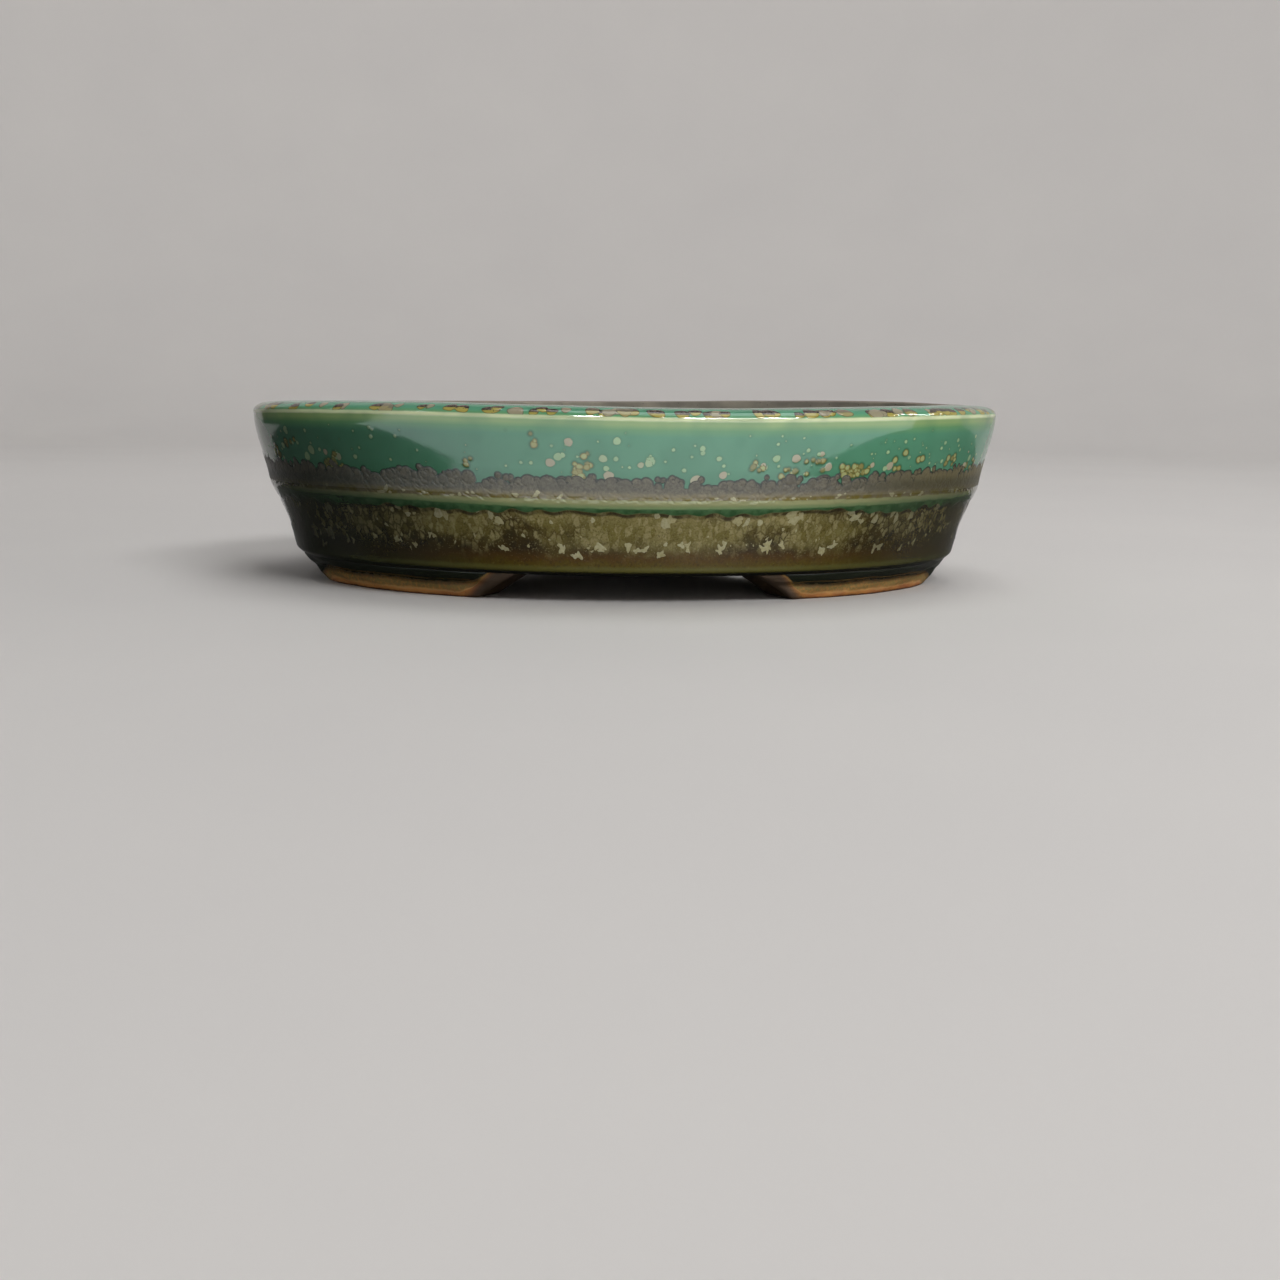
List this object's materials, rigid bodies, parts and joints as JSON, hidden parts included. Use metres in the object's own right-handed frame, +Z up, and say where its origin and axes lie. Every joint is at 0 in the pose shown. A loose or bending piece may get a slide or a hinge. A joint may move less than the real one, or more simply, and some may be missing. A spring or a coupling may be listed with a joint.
{
  "type": "bonsai pot",
  "caption": "Shallow oval glazed bonsai pot with a rounded rim lip, a moulded waist and bracket feet, made of luted clay bands on a floor slab with drain and wire holes.",
  "frame": {"origin": "on the surface that the feet stand on, under the middle of the pot", "axes": "+X along the oval's long axis, +Y from the front to the back, +Z up"},
  "size_m": [0.2, 0.152, 0.0472],
  "materials": {
    "rim_glaze": "glossy",
    "turquoise_glaze": "glossy",
    "moulding_glaze": "satin crystalline",
    "olive_glaze": "glossy mottled",
    "dark_clay": "matte unglazed",
    "foot_clay": "matte unglazed"
  },
  "bodies": {
    "root": {"rim_lip": "rim_glaze", "upper_wall": "turquoise_glaze", "waist_moulding": "moulding_glaze", "lower_wall": "olive_glaze", "floor_slab": "dark_clay", "foot_front_left": "foot_clay", "foot_front_right": "foot_clay", "foot_back_left": "foot_clay", "foot_back_right": "foot_clay"}
  },
  "joints": []
}
